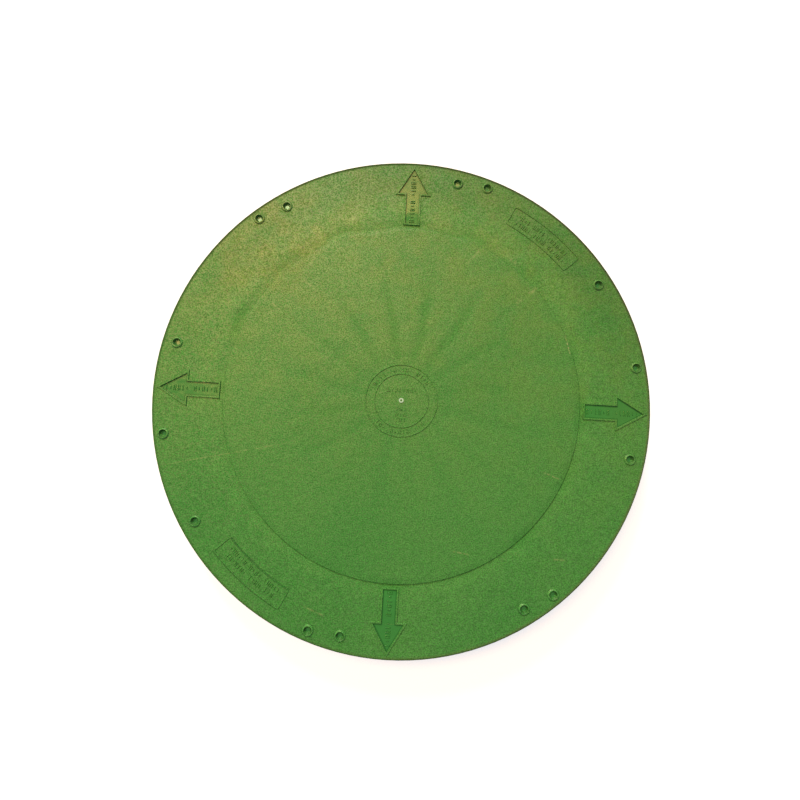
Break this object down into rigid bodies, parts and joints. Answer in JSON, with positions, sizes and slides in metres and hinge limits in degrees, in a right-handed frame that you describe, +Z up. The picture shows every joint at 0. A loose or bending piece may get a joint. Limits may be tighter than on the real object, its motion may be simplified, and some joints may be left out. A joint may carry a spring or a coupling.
{
  "type": "septic tank riser cover",
  "caption": "Round green moulded plastic cover that closes a septic tank riser, with a skirt, ribs underneath, screw cups near the rim and a foam gasket.",
  "frame": {"origin": "centre of the cover at the foot of its skirt", "axes": "+Z up through the middle of the top face; +Y the way one of the four arrows points"},
  "size_m": [0.66, 0.66, 0.048],
  "materials": {
    "green_plastic": "fine moulded grain, lightly scuffed",
    "grey_foam": "matte closed-cell foam"
  },
  "bodies": {
    "root": {"cover": "green_plastic", "rim_gasket": "grey_foam"}
  },
  "joints": []
}
